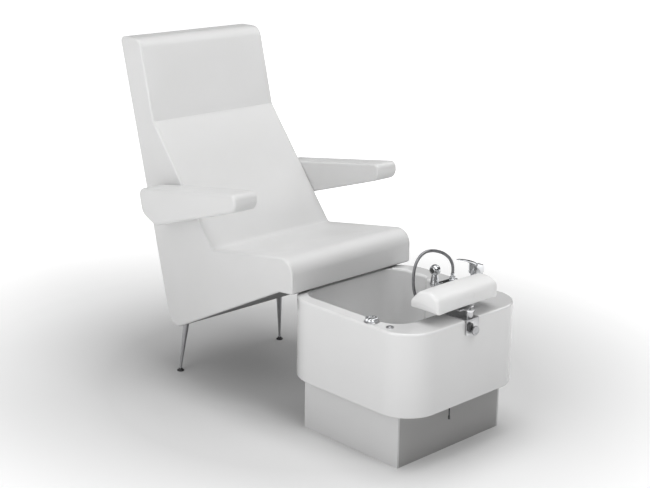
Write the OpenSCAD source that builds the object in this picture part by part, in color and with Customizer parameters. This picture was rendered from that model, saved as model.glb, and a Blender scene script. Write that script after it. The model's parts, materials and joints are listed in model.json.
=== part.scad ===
// Pedicure spa chair: a one-piece upholstered chair on two rear legs and a column,
// with a foot basin on a plinth in front, a mixer tap with a hand shower and a footrest.
// X runs across the chair, -Y is the side that the sitter faces, Z is up.
// The origin is the centre of the plinth's underside, on the floor.

/* [Chair] */
// Overall width of the upholstered body
seat_width = 620; // [600:1:640]
// Height of the seat's front edge
seat_height = 650; // [640:1:665]
// Overall height of the headrest
chair_height = 1333; // [1310:1:1350]
// Thickness of each padded side cover
side_cover_thickness = 12; // [8:1:16]
// Thickness of the plywood side frames
carcass_thickness = 18; // [12:1:18]
// Width of an armrest
armrest_width = 110; // [90:1:120]
// Sideways position of a rear foot
foot_x = 270; // [262:1:276]
// Largest diameter of a rear leg
leg_top_diameter = 25; // [20:1:28]

/* [Basin] */
// Width of the basin
basin_width = 620; // [616:1:630]
// Height of the basin's rim above the floor
rim_height = 506; // [506:1:507]
// Wall thickness of the basin moulding
wall = 6; // [5:1:6]
// Height of the bowl's floor
bowl_floor = 250; // [250:1:252]
// Width of the plinth
plinth_width = 540; // [530:1:550]
// Depth of the plinth
plinth_depth = 470; // [460:1:474]
// Height of the plinth
plinth_height = 202; // [202:1:203]

/* [Fittings] */
// Diameter of the air control's escutcheon
air_control_diameter = 54; // [50:1:58]
// Diameter of the mixer's barrel
mixer_diameter = 46; // [42:1:48]
// Diameter of the hand shower's ball head
shower_head_diameter = 42; // [38:1:44]
// Outer diameter of the shower hose
hose_diameter = 12; // [10:0.5:13]
// Length of the footrest cushion
cushion_length = 316; // [300:1:320]
// Depth of the footrest cushion
cushion_depth = 134; // [128:1:136]

/* [Hidden] */

$fn = 64;
// Overlap that lets one cut run past the face it opens
past = 1;
// Radial clearance of a running fit
running = 0.05;

// Colours
leather = [0.93, 0.93, 0.92];
gloss_white = [0.95, 0.95, 0.95];
panel_grey = [0.8, 0.8, 0.8];
bright = [0.78, 0.79, 0.8];
dark = [0.15, 0.15, 0.16];
steel = [0.55, 0.56, 0.58];
ply = [0.8, 0.66, 0.46];
pipe_grey = [0.62, 0.63, 0.65];

// ---- Plane geometry ----

function unit(v) = v / norm(v);

// Point where the line from p along u meets the line from q along v
function meet(p, u, q, v) = p + u * (cross(q - p, v) / cross(u, v));

// Outline moved inwards by its own distance along each edge. The points run clockwise,
// and distance i belongs to the edge from point i to the next one.
function inset(points, distances) = [
    for (i = [0:len(points) - 1])
        let (n = len(points),
            before = unit(points[i] - points[(i + n - 1) % n]),
            after = unit(points[(i + 1) % n] - points[i]),
            shift_before = [before.y, -before.x] * distances[(i + n - 1) % n],
            shift_after = [after.y, -after.x] * distances[i])
        meet(points[i] + shift_before, before, points[i] + shift_after, after)
];

// Arc that rounds the corner b between a and c
function corner_arc(a, b, c, r, steps) =
    let (u = unit(a - b),
        v = unit(c - b),
        half = acos(u * v) / 2,
        centre = b + unit(u + v) * r / sin(half),
        from = b + u * r / tan(half) - centre,
        to = b + v * r / tan(half) - centre,
        start = atan2(from.y, from.x),
        turn = (atan2(to.y, to.x) - start + 540) % 360 - 180)
    [for (i = [0:steps]) centre + r * [cos(start + turn * i / steps), sin(start + turn * i / steps)]];

// Outline with a radius at each corner
function rounded(points, radii, steps = 8) = [
    for (i = [0:len(points) - 1])
        let (n = len(points))
        each (radii[i] == 0
            ? [points[i]]
            : corner_arc(points[(i + n - 1) % n], points[i], points[(i + 1) % n], radii[i], steps))
];

// Solid whose outline lies in the Y-Z plane, from x_low to x_high
module across(points, x_low, x_high)
    translate([x_low, 0, 0]) rotate([90, 0, 90]) linear_extrude(x_high - x_low) polygon(points);

// Block given by its two opposite corners
module block(low, high)
    translate(low) cube(high - low);

// Upright round bar or hole
module upright(place, z_low, z_high, r)
    translate([place.x, place.y, z_low]) cylinder(h = z_high - z_low, r = r);

// Upright cone
module upright_cone(place, z_low, z_high, r_low, r_high)
    translate([place.x, place.y, z_low]) cylinder(h = z_high - z_low, r1 = r_low, r2 = r_high);

// Round bar or hole along +Y
module along_y(place, y_low, y_high, r)
    translate([place.x, y_low, place.y]) rotate([-90, 0, 0]) cylinder(h = y_high - y_low, r = r);

// Round bar or hole along +X
module along_x(place, x_low, x_high, r)
    translate([x_low, place.x, place.y]) rotate([0, 90, 0]) cylinder(h = x_high - x_low, r = r);

// ---- Chair outline, seen from the side as [y, z], clockwise from the lip's underside ----

half_seat = seat_width / 2;
lip_front = 265;
lip_bottom = 513;
seat_rear = [720, 580];
head_kink = [1071, 1021];
head_front_top = [1150, chair_height];
head_rear_top = [1277, chair_height];
heel = [984, 186];
underside_front = [338, 507];
outline = [[lip_front, lip_bottom], [lip_front, seat_height], seat_rear, head_kink,
    head_front_top, head_rear_top, heel, underside_front];
outline_radii = [0, 58, 20, 30, 48, 20, 54, 0];
chair_outline = rounded(outline, outline_radii);

// Padding thickness along each edge of the outline, and the plywood inside it
padding = [45, 60, 55, 55, 30, 22, 20, 12];
board_thickness = 15;
carcass = inset(outline, padding);
boards_inner = inset(outline, padding + [for (edge = [0:7]) edge < 5 ? board_thickness : 0]);

half_carcass_outer = half_seat - side_cover_thickness;
half_carcass_inner = half_carcass_outer - carcass_thickness;

// Height of the slanted underside at y
function underside_z(y) = underside_front.y
    + (y - underside_front.x) * (heel.y - underside_front.y) / (heel.x - underside_front.x);

// A pad or panel: the part of the rounded outline inside one band of points
module band(points, half_width) intersection() {
    across(chair_outline, -half_width, half_width);
    across(points, -half_width - past, half_width + past);
}

// ---- Rear legs ----

ball_centre = [foot_x, 979, 12];
leg_entry = [foot_x - 20, 960, 212];
ball_radius = 6;
stud_radius = 8;
stud_length = 46;

// Places its children on the leg's axis, with +Z up the leg from the ball's centre
module on_leg(side) {
    run = leg_entry - ball_centre;
    translate([side * ball_centre.x, ball_centre.y, ball_centre.z])
        rotate([0, 0, atan2(run.y, side * run.x)])
            rotate([0, acos(run.z / norm(run)), 0])
                children();
}
leg_length = norm(leg_entry - ball_centre);

module leg_holes(r, z_low, z_high)
    for (side = [-1, 1]) on_leg(side) translate([0, 0, z_low]) cylinder(h = z_high - z_low, r = r);

module rear_legs() color(bright) for (side = [-1, 1]) on_leg(side) {
    sphere(r = ball_radius);
    translate([0, 0, 3]) cylinder(h = leg_length - 3, r1 = 4.6, r2 = leg_top_diameter / 2);
    translate([0, 0, leg_length - past]) cylinder(h = stud_length + past, r = stud_radius);
}

module glide(side) color(dark) difference() {
    union() {
        upright([side * foot_x, ball_centre.y], 0, 4, 14.5);
        upright_cone([side * foot_x, ball_centre.y], 4, 6, 14.5, 9);
        upright([side * foot_x, ball_centre.y], 5.5, ball_centre.z, 8);
    }
    translate([side * foot_x, ball_centre.y, ball_centre.z]) sphere(r = ball_radius + 2 * running);
}
module glide_left() glide(-1);
module glide_right() glide(1);

// ---- Upholstery and carcass ----

module seat_pad() color(leather)
    band([outline[0], outline[1], outline[2], carcass[2], carcass[1], carcass[0]], half_carcass_outer);

module back_pad() color(leather)
    band([outline[2], outline[3], carcass[3], carcass[2]], half_carcass_outer);

module head_pad() color(leather)
    band([outline[3], outline[4], outline[5], carcass[5], carcass[4], carcass[3]], half_carcass_outer);

module rear_panel() color(leather) difference() {
    band([outline[5], outline[6], carcass[6], carcass[5]], half_carcass_outer);
    leg_holes(leg_top_diameter / 2 + past, leg_length - 40, leg_length + stud_length);
}

module underside_panel() color(leather) difference() {
    band([outline[6], outline[7], outline[0], carcass[0], carcass[7], carcass[6]], half_carcass_outer);
    leg_holes(leg_top_diameter / 2 + past, leg_length - 40, leg_length + stud_length);
    support_bolt_holes(support_bolt_radius);
}

// Armrest bolts, as [y, z]
armrest_bolt_places = [[940, 728], [992, 736], [968, 694]];
armrest_bolt_radius = 5;

module armrest_bolt_holes(r, x_low, x_high)
    for (side = [-1, 1], place = armrest_bolt_places)
        along_x(place, side > 0 ? x_low : -x_high, side > 0 ? x_high : -x_low, r);

module side_cover(side) color(leather) difference() {
    across(chair_outline, side > 0 ? half_carcass_outer : -half_seat,
        side > 0 ? half_seat : -half_carcass_outer);
    armrest_bolt_holes(armrest_bolt_radius, half_carcass_outer - past, half_seat + past);
    leg_holes(leg_top_diameter / 2 + past, leg_length - 40, leg_length + stud_length);
}
module side_cover_left() side_cover(-1);
module side_cover_right() side_cover(1);

module carcass_sides() color(ply) difference() {
    for (side = [-1, 1])
        across(carcass, side > 0 ? half_carcass_inner : -half_carcass_outer,
            side > 0 ? half_carcass_outer : -half_carcass_inner);
    armrest_bolt_holes(armrest_bolt_radius, half_carcass_inner - past, half_carcass_outer + past);
}

module carcass_boards() color(ply) {
    across([carcass[0], carcass[1], carcass[2], boards_inner[2], boards_inner[1], boards_inner[0]],
        -half_carcass_inner, half_carcass_inner);
    across([carcass[2], carcass[3], carcass[4], boards_inner[4], boards_inner[3], boards_inner[2]],
        -half_carcass_inner, half_carcass_inner);
}

// Rail in the heel that takes the legs, and two plain cross rails
up_rear = unit(carcass[5] - carcass[6]);
along_underside = unit(carcass[7] - carcass[6]);
rail_gap = 0.1;
rail_corner = carcass[6] + (up_rear + along_underside) * rail_gap;
heel_rail = [rail_corner, rail_corner + up_rear * 90,
    rail_corner + up_rear * 90 + along_underside * 100, rail_corner + along_underside * 100];

module carcass_rails() color(ply) {
    difference() {
        across(heel_rail, -half_carcass_inner, half_carcass_inner);
        leg_holes(stud_radius, leg_length - past, leg_length + stud_length);
        leg_holes(leg_top_diameter / 2 + past, leg_length - 40, leg_length + past / 2);
    }
    block([-half_carcass_inner, 700, 400], [half_carcass_inner, 745, 470]);
    block([-half_carcass_inner, 1010, 760], [half_carcass_inner, 1050, 830]);
}

// ---- Armrests ----

armrest_outline = [[1034, 780], [453, 866], [447, 802], [930, 650], [1012, 684]];
armrest_radii = [26, 22, 38, 60, 50];
armrest_cover = 15;

armrest_core = inset([for (i = [4:-1:0]) armrest_outline[i]], [for (i = [0:4]) armrest_cover]);
core_low = half_seat + 6;
core_high = half_seat + armrest_width - armrest_cover;
bolt_end = half_seat + 45;

module armrest(side) color(leather) difference() {
    across(rounded(armrest_outline, armrest_radii), side > 0 ? half_seat : -half_seat - armrest_width,
        side > 0 ? half_seat + armrest_width : -half_seat);
    across(armrest_core, side > 0 ? core_low : -core_high, side > 0 ? core_high : -core_low);
    armrest_bolt_holes(armrest_bolt_radius, half_seat - past, core_low + past);
}
module armrest_left() armrest(-1);
module armrest_right() armrest(1);

module armrest_cores() color(ply) difference() {
    for (side = [-1, 1])
        across(armrest_core, side > 0 ? core_low : -core_high, side > 0 ? core_high : -core_low);
    armrest_bolt_holes(armrest_bolt_radius, core_low - past, bolt_end);
}

module armrest_bolts() color(steel) for (side = [-1, 1], place = armrest_bolt_places) {
    shank = [half_carcass_inner, bolt_end];
    head = [half_carcass_inner - 6, half_carcass_inner];
    along_x(place, side > 0 ? shank[0] : -shank[1], side > 0 ? shank[1] : -shank[0], armrest_bolt_radius);
    along_x(place, side > 0 ? head[0] : -head[1], side > 0 ? head[1] : -head[0], 9);
}

// ---- Column that carries the chair's front ----

column_half = 60;
column_front = 342;
column_rear = 378;
beam_low = 26;
beam_high = 56;
beam_foot = [150, 200];
head_rear = 450;
head_plate = 6;
support_bolt_places = [[-40, 410], [40, 410], [-40, 435], [40, 435]];
support_bolt_radius = 4;

module support_bolt_holes(r)
    for (place = support_bolt_places)
        upright(place, underside_z(place.y) - 30, underside_z(place.y) + 16, r);

module support_column() color(steel) difference() {
    union() {
        block([-column_half, beam_foot[0], beam_low], [column_half, column_rear, beam_high]);
        block([-column_half, beam_foot[0], 5], [column_half, beam_foot[1], beam_low + past]);
        across([[column_front, beam_low], [column_front, underside_z(column_front)],
            [head_rear, underside_z(head_rear)], [head_rear, underside_z(head_rear) - head_plate],
            [column_rear, underside_z(column_rear) - head_plate], [column_rear, beam_low]],
            -column_half, column_half);
    }
    support_bolt_holes(support_bolt_radius);
}

module support_bolts() color(steel) for (place = support_bolt_places) {
    face = underside_z(place.y) - head_plate;
    upright(place, face - 8, underside_z(place.y) + 16, support_bolt_radius);
    upright(place, face - 14, face - 8, 7);
}

// ---- Plinth ----

half_plinth = plinth_width / 2;
plinth_y = plinth_depth / 2;
panel = 8;
post = 25;
rail = 20;
pan = 5;
inner_x = half_plinth - panel;
inner_y = plinth_y - panel;
waste_place = [150, 110];
waste_radius = 20;
waste_pipe_radius = 24;
waste_length = 45;
inlet_places = [[-130, 90], [-190, 90]];
inlet_radius = 10.48;
inlet_shank_radius = 12;
inlet_length = 25;
gland_place = [205, 60];
gland_radius = 9;

module base_pan() color(steel) block([-inner_x, -inner_y, 0], [inner_x, inner_y, pan]);

module plinth_posts() color(steel) for (x = [-1, 1], y = [-1, 1])
    translate([x * (inner_x - post / 2), y * (inner_y - post / 2), (pan + plinth_height) / 2])
        cube([post, post, plinth_height - pan], center = true);

module plinth_rails() color(steel) for (z = [pan + rail / 2, plinth_height - rail / 2]) {
    for (y = [-1, 1]) translate([0, y * (inner_y - rail / 2), z])
        cube([2 * (inner_x - post), rail, rail], center = true);
    for (x = [-1, 1]) translate([x * (inner_x - rail / 2), 0, z])
        cube([rail, 2 * (inner_y - post), rail], center = true);
}

module plinth_front_panel() color(panel_grey)
    block([-inner_x, -plinth_y, 0], [inner_x, -inner_y, plinth_height]);

module plinth_side_panels() color(panel_grey) for (side = [-1, 1])
    translate([side * (half_plinth - panel / 2), 0, plinth_height / 2])
        cube([panel, plinth_depth, plinth_height], center = true);

module plinth_rear_panel() color(panel_grey) difference() {
    block([-inner_x, inner_y, 0], [inner_x, plinth_y, plinth_height]);
    block([-column_half, inner_y - past, beam_low], [column_half, plinth_y + past, beam_high]);
    along_y(waste_place, inner_y - past, plinth_y + past, waste_pipe_radius);
    along_y(gland_place, inner_y - past, plinth_y + past, gland_radius);
    for (place = inlet_places) along_y(place, inner_y - past, plinth_y + past, inlet_shank_radius);
}

// ---- Basin ----

half_basin = basin_width / 2;
basin_front = -315;
basin_rear = 335;
apron_points = [[-half_basin, basin_front], [-half_basin, basin_rear],
    [half_basin, basin_rear], [half_basin, basin_front]];
apron_radii = [128, 160, 160, 128];
bowl_points = [[-248, -197], [-248, 285], [235, 285], [235, 110], [212, 90], [212, -197]];
bowl_radii = [90, 76, 76, 28, 28, 90];
deck = 6;
rim_round = 9;
floor_panel = 6;
drain = [-30, 45];

function grown(points, radii, d) =
    rounded(inset(points, [for (p = points) -d]), [for (r = radii) max(r + d, 0)], 10);

// The bowl's outline has one inside corner, whose radius shrinks as the outline grows
bowl_outer_radii = [96, 82, 82, 34, 22, 96];

module slab(points, z_low, z_high)
    translate([0, 0, z_low]) linear_extrude(z_high - z_low) polygon(points);

// Fittings on the deck, as [x, y]
air_control = [-277, -104];
start_button_place = [-272, -185];
mixer = [262, -111];
shower = [175, 15];
union_place = [275, 15];
rod = [drain.x, -256];
drain_hole = 23;

// Water jets, as [x, y of the wall's wet face, direction out of the bowl]
jets = [[-90, 285, 1], [90, 285, 1], [-90, -197, -1], [90, -197, -1]];
jet_height = 310;
jet_radius = 18;

module jet_bar(jet, out_from, out_to, r) {
    a = jet.y + jet.z * out_from;
    b = jet.y + jet.z * out_to;
    along_y([jet.x, jet_height], min(a, b), max(a, b), r);
}

module basin_shell() color(gloss_white) difference() {
    union() {
        slab(grown(apron_points, apron_radii, 0), plinth_height, rim_height - rim_round);
        hull() {
            slab(grown(apron_points, apron_radii, 0), rim_height - rim_round - past, rim_height - rim_round);
            slab(grown(apron_points, apron_radii, -3), rim_height - 3, rim_height - 2.5);
            slab(grown(apron_points, apron_radii, -8), rim_height - 1, rim_height);
        }
    }
    difference() {
        slab(grown(apron_points, apron_radii, -wall), plinth_height - past, rim_height - deck);
        slab(rounded(inset(bowl_points, [for (p = bowl_points) -wall]), bowl_outer_radii, 10),
            bowl_floor - wall, rim_height);
    }
    slab(rounded(bowl_points, bowl_radii, 10), bowl_floor, rim_height + past);
    upright(air_control, rim_height - deck - past, rim_height + past, 14);
    upright(start_button_place, rim_height - deck - past, rim_height + past, 10.5);
    upright(mixer, rim_height - deck - past, rim_height + past, 16);
    upright(union_place, rim_height - deck - past, rim_height + past, 8);
    upright(drain, bowl_floor - wall - past, bowl_floor + past, drain_hole);
    for (jet = jets) jet_bar(jet, -past, wall + past, jet_radius);
}

// Opening in the floor panel above the plinth, and the ears that carry the drain lever
floor_opening = [[-200, -20], [200, 180]];
lever_z = 232;
lever_pivot = (rod.y + 2 * drain.y) / 3;

module basin_floor_panel() color(panel_grey) difference() {
    union() {
        slab(grown(apron_points, apron_radii, -wall), plinth_height, plinth_height + floor_panel);
        for (side = [-1, 1])
            translate([drain.x + side * 7, lever_pivot, (plinth_height + lever_z + 12) / 2])
                cube([4, 16, lever_z + 4 - plinth_height], center = true);
    }
    block([floor_opening[0].x, floor_opening[0].y, plinth_height - past],
        [floor_opening[1].x, floor_opening[1].y, plinth_height + floor_panel + past]);
    upright(rod, plinth_height - past, plinth_height + floor_panel + past, 4);
    along_x([lever_pivot, lever_z], drain.x - 12, drain.x + 12, 2.5 + running);
}

module drain_flange() color(bright) {
    difference() {
        union() {
            upright(drain, bowl_floor, bowl_floor + 2, 31);
            upright(drain, bowl_floor - wall, bowl_floor + 1, drain_hole);
        }
        upright(drain, bowl_floor - wall - past, bowl_floor + 2 + past, 19);
    }
    difference() {
        union() {
            upright(drain, bowl_floor - wall, bowl_floor - 2, 7);
            for (angle = [30, 150, 270]) translate([drain.x, drain.y, bowl_floor - 4])
                rotate([0, 0, angle]) translate([12, 0, 0]) cube([16, 3, 4], center = true);
        }
        upright(drain, bowl_floor - wall - past, bowl_floor, 4 + running);
    }
}

module drain_plug() color(bright) {
    upright(drain, bowl_floor + 2.3, bowl_floor + 4.5, 23);
    upright_cone(drain, bowl_floor + 4.5, bowl_floor + 8, 23, 12);
    upright(drain, lever_z + 3.5, bowl_floor + 4, 4);
}

module drain_lever() color(steel) difference() {
    union() {
        block([drain.x - 4, rod.y - 10, lever_z - 2.5], [drain.x + 4, drain.y + 7, lever_z + 2.5]);
        block([drain.x - 7.5, rod.y - 10, lever_z - 2.5], [drain.x + 7.5, rod.y + 10, lever_z + 2.5]);
        along_x([lever_pivot, lever_z], drain.x - 10, drain.x + 10, 2.5);
    }
    block([rod.x - 3.5, rod.y - 5, lever_z - 4], [rod.x + 3.5, rod.y + 5, lever_z + 4]);
}

module drain_pull_rod() color(dark) {
    upright(rod, 128, lever_z + 6, 2.5);
    upright(rod, 122, 134, 4);
    upright(rod, lever_z + 4, lever_z + 7, 6);
}

module drain_trap() color(pipe_grey) difference() {
    union() {
        upright(drain, 140, bowl_floor - wall, drain_hole);
        upright(drain, 70, 150, 36);
        along_x([drain.y, waste_place.y], drain.x, waste_place.x, waste_pipe_radius);
        translate([waste_place.x, drain.y, waste_place.y]) sphere(r = waste_pipe_radius);
        along_y(waste_place, drain.y, plinth_y, waste_pipe_radius);
        along_y(waste_place, plinth_y - past, plinth_y + waste_length, waste_radius);
    }
    upright(drain, 80, bowl_floor, 20);
    upright(drain, 80, 140, 32);
    along_x([drain.y, waste_place.y], drain.x, waste_place.x, waste_radius - 3);
    translate([waste_place.x, drain.y, waste_place.y]) sphere(r = waste_radius - 3);
    along_y(waste_place, drain.y, plinth_y + waste_length + past, waste_radius - 3);
    block([drain.x - 6, drain.y - 30, lever_z - 9], [drain.x + 6, drain.y, bowl_floor]);
}

module water_jets() color(bright) for (jet = jets) difference() {
    union() {
        jet_bar(jet, -4, 0, 25);
        jet_bar(jet, -past, 24, jet_radius);
    }
    jet_bar(jet, -5, 10, 9);
}

pump = [-110, 92];
module circulation_pump() color(dark) {
    along_x(pump, -215, -95, 52);
    along_x(pump, -96, -66, 60);
    block([-205, pump.x - 45, pan], [-105, pump.x + 45, pump.y - 30]);
    upright([-81, pump.x], pump.y + 40, 190, 20);
}

module control_box() color(panel_grey) block([70, -185, pan], [210, -95, 120]);

module water_inlets() color([0.8, 0.65, 0.3]) for (place = inlet_places) difference() {
    union() {
        along_y(place, plinth_y - past, plinth_y + inlet_length, inlet_radius);
        along_y(place, inner_y - 22, plinth_y, inlet_shank_radius);
        along_y(place, inner_y - 10, inner_y, inlet_shank_radius + 4);
    }
    along_y(place, inner_y - 22 - past, plinth_y + inlet_length + past, 7);
}

module cable_gland() color(dark) difference() {
    union() {
        along_y(gland_place, inner_y - 8, plinth_y + 18, gland_radius);
        along_y(gland_place, plinth_y, plinth_y + 8, 12);
    }
    along_y(gland_place, inner_y - 8 - past, plinth_y + 18 + past, 4);
}

// ---- Controls on the rim ----

module air_control_base() color(bright) difference() {
    union() {
        upright(air_control, rim_height, rim_height + 2, air_control_diameter / 2);
        upright_cone(air_control, rim_height + 2, rim_height + 4, air_control_diameter / 2,
            air_control_diameter / 2 - 2);
        upright(air_control, rim_height - 26, rim_height + 1, 14);
    }
    upright(air_control, rim_height - 26 - past, rim_height + 5, 6 + running);
}

module air_control_knob() color(bright) difference() {
    union() {
        upright_cone(air_control, rim_height + 4.3, rim_height + 13, 24, 23);
        upright_cone(air_control, rim_height + 13, rim_height + 17, 23, 18);
        upright(air_control, rim_height - 24, rim_height + 5, 6);
    }
    for (angle = [0:45:315]) translate([air_control.x, air_control.y, rim_height + 6])
        rotate([0, 0, angle]) translate([26.5, 0, 0]) cylinder(h = 12, r = 5);
}

button_radius = 8.4;
module start_button_bezel() color(bright) difference() {
    union() {
        upright(start_button_place, rim_height, rim_height + 2, 13.5);
        upright_cone(start_button_place, rim_height + 2, rim_height + 3.5, 13.5, 11.5);
        upright(start_button_place, rim_height - 24, rim_height + 1, 10.5);
    }
    upright(start_button_place, rim_height - 18, rim_height + 5, button_radius + 2 * running);
}

module start_button() color(bright) {
    upright(start_button_place, rim_height - 12, rim_height + 5, button_radius);
    upright_cone(start_button_place, rim_height + 5, rim_height + 6.2, button_radius, button_radius - 2);
}

// ---- Mixer tap ----

mixer_r = mixer_diameter / 2;
barrel_top = rim_height + 56;
spout_z = rim_height + 32;
spout_tip = mixer.x - 116;
spout_r = 12;
lever_axis = rim_height + 86;

module mixer_body() color(bright) difference() {
    union() {
        upright(mixer, rim_height, rim_height + 5, mixer_r + 5);
        upright(mixer, rim_height + 4, barrel_top, mixer_r);
        upright(mixer, rim_height - 40, rim_height + 1, 16);
        along_x([mixer.y, spout_z], spout_tip, mixer.x, spout_r);
        upright([spout_tip, mixer.y], spout_z - 16, spout_z, spout_r);
        translate([spout_tip, mixer.y, spout_z]) sphere(r = spout_r);
    }
    upright([spout_tip, mixer.y], spout_z - 17, spout_z - 6, 9);
    upright(mixer, rim_height - 41, rim_height - 10, 9);
}

module mixer_aerator() color(steel) difference() {
    upright([spout_tip, mixer.y], spout_z - 19, spout_z - 6, 9);
    upright([spout_tip, mixer.y], spout_z - 20, spout_z - 9, 6.5);
}

module mixer_cap() color(bright) difference() {
    union() {
        upright(mixer, barrel_top + 0.3, barrel_top + 7, mixer_r - 1);
        upright(mixer, barrel_top + 6, barrel_top + 18, 10);
        block([mixer.x - 8, mixer.y - 4, barrel_top + 17], [mixer.x + 8, mixer.y + 4, lever_axis]);
        along_y([mixer.x, lever_axis], mixer.y - 4, mixer.y + 4, 8);
    }
    along_y([mixer.x, lever_axis], mixer.y - 5, mixer.y + 5, 2.5 + running);
}

// Side views of the lever's blade and of its housing, as distances from its axis
blade_side = [[0, 0], [0, 15], [-22, 26], [-46, 36], [-77, 45], [-108, 50], [-109, 47],
    [-77, 38], [-46, 25], [-34, 19], [-24, 0]];
housing_side = [[28, -15], [27, -6], [23, 2], [14, 9], [0, 15], [-22, 26], [-34, 31], [-34, -22]];
blade_half_width = 17;
housing = [mixer.x - 3, mixer.y];
housing_radius = 28;

module lever_plate(side, half_width)
    translate([mixer.x, mixer.y + half_width, lever_axis]) rotate([90, 0, 0])
        linear_extrude(2 * half_width) polygon(side);

module mixer_lever() color(bright) difference() {
    union() {
        lever_plate(blade_side, blade_half_width);
        intersection() {
            lever_plate(housing_side, housing_radius + past);
            upright(housing, lever_axis - 30, lever_axis + 40, housing_radius);
        }
    }
    upright(housing, lever_axis - 30, lever_axis - 7, housing_radius - 3);
    block([mixer.x - 12, mixer.y - 4.4, lever_axis - 12], [mixer.x + 12, mixer.y + 4.4, lever_axis + 10]);
    along_y([mixer.x, lever_axis], mixer.y - 17, mixer.y + 17, 2.5);
}

module mixer_lever_pin() color(steel)
    along_y([mixer.x, lever_axis], mixer.y - 17, mixer.y + 17, 2.5);

// ---- Hand shower ----

ring_top = rim_height + 9;
hose_top = rim_height + 28;
hose_end = rim_height - 14;

module shower_holder() color(bright) difference() {
    union() {
        block([200, union_place.y - 15, rim_height], [297, union_place.y + 15, rim_height + 3]);
        block([shower.x + 10, shower.y - 8, rim_height + 1], [215, shower.y + 8, rim_height + 7]);
        upright(shower, rim_height, ring_top, 18);
    }
    upright(shower, rim_height - past, ring_top + past, 12);
    upright(union_place, rim_height - past, rim_height + 4, 8);
}

module hose_union() color(bright) {
    upright(union_place, rim_height - 24, rim_height + 3, 8);
    upright(union_place, rim_height + 3, rim_height + 7, 14);
    upright(union_place, rim_height + 6, rim_height + 14, 10);
    upright(union_place, rim_height + 13, hose_top, 7.5);
}

// Centre line of the hose, in the plane y = union_place.y, as [x, z]
hose_points = [[275, 534], [275, 550], [272, 566], [264, 582], [251, 598], [234, 612],
    [213, 625], [190, 635], [165, 643], [139, 647], [114, 646], [92, 637], [75, 621],
    [64, 600], [59, 577], [58, 553], [60, 529], [66, 506], [76, 485], [91, 467],
    [110, 456], [131, 453], [151, 459], [166, 471], [173, 482], [175, 492]];
hose_sides = 10;

// Direction of the centre line at point i, held upright at both ends
function hose_direction(i) =
    let (last = len(hose_points) - 1)
    i == 0 || i == last ? [0, 1] : unit(hose_points[i + 1] - hose_points[i - 1]);

function hose_ring(i, r) =
    let (d = hose_direction(i), p = hose_points[i])
    [for (k = [0:hose_sides - 1])
        let (a = 360 * k / hose_sides)
        [p.x + r * cos(a) * d.y, union_place.y + r * sin(a), p.y - r * cos(a) * d.x]];

module shower_hose() color(steel) {
    rings = len(hose_points);
    points = [for (i = [0:rings - 1]) each hose_ring(i, hose_diameter / 2)];
    walls = [for (i = [0:rings - 2], k = [0:hose_sides - 1])
        let (next = (k + 1) % hose_sides)
        [i * hose_sides + k, i * hose_sides + next, (i + 1) * hose_sides + next, (i + 1) * hose_sides + k]];
    first_cap = [for (k = [hose_sides - 1:-1:0]) k];
    last_cap = [for (k = [0:hose_sides - 1]) (rings - 1) * hose_sides + k];
    polyhedron(points, concat([first_cap], walls, [last_cap]));
}

module shower_hose_nut() color(bright) upright(shower, hose_end, rim_height - 6, 9);

module shower_handle() color(bright) {
    upright(shower, rim_height - 6, ring_top + 1, 11.5);
    upright(shower, ring_top + 0.3, ring_top + 5, 16.5);
    upright_cone(shower, ring_top + 5, rim_height + 46, 16.5, 11);
}

head_r = shower_head_diameter / 2;
head_z = rim_height + 61;
module shower_head() color(bright) difference() {
    union() {
        translate([shower.x, shower.y, head_z]) sphere(r = head_r);
        upright(shower, rim_height + 46, head_z, 11);
    }
    upright(shower, rim_height + 30, rim_height + 46, 20);
    block([shower.x - 30, shower.y - 22, head_z - 22], [shower.x - 17.5, shower.y + 22, head_z + 22]);
}

// ---- Footrest ----

bracket_low_x = -34;
bracket_high_x = 30;
bracket_bottom = 454;
sheet = 4;
pad_gap = 3;
bracket_front = basin_front - pad_gap - sheet;
bowl_front = bowl_points[0].y;
knob_place = [-20, 484];
thumbscrew_place = [-1, 469];
screw_radius = 4;
post_place = [0, -302];
post_radius = 10;
sleeve_radius = 14;
sleeve_top = rim_height + 25;
plate_low = sleeve_top + 4.3;
board_low = plate_low + 4;
cushion_low = board_low + 7;
board_inset = 30;
half_plate = 36;

module clamp_bracket() color(bright) difference() {
    union() {
        block([bracket_low_x, bracket_front, rim_height],
            [bracket_high_x, bowl_front + pad_gap + sheet, rim_height + sheet]);
        block([bracket_low_x, bracket_front, bracket_bottom],
            [bracket_high_x, bracket_front + sheet, rim_height + sheet]);
        block([bracket_low_x, bowl_front + pad_gap, rim_height - 36],
            [bracket_high_x, bowl_front + pad_gap + sheet, rim_height + sheet]);
        upright(post_place, rim_height + 1, sleeve_top, sleeve_radius);
    }
    upright(post_place, rim_height + sheet, sleeve_top + past, post_radius + running);
    along_y(knob_place, bracket_front - past, bracket_front + sheet + past, screw_radius + running);
    along_y(thumbscrew_place, bracket_front - past, bracket_front + sheet + past, screw_radius + running);
}

module clamp_pad() color(dark) {
    block([bracket_low_x + 4, basin_front - pad_gap, bracket_bottom + 4],
        [bracket_high_x - 4, basin_front, rim_height - rim_round - 1]);
    block([bracket_low_x + 4, bowl_front, rim_height - 34],
        [bracket_high_x - 4, bowl_front + pad_gap, rim_height - 4]);
}

module clamp_knob() color(dark) difference() {
    union() {
        along_y(knob_place, bracket_front - 1, bracket_front + sheet - 0.2, screw_radius);
        along_y(knob_place, bracket_front - 6, bracket_front - 0.3, 17.5);
    }
    for (angle = [0:60:300]) translate([knob_place.x, bracket_front - 7, knob_place.y])
        rotate([-90, 0, 0]) rotate([0, 0, angle]) translate([20.5, 0, 0]) cylinder(h = 5, r = 5);
}

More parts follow.
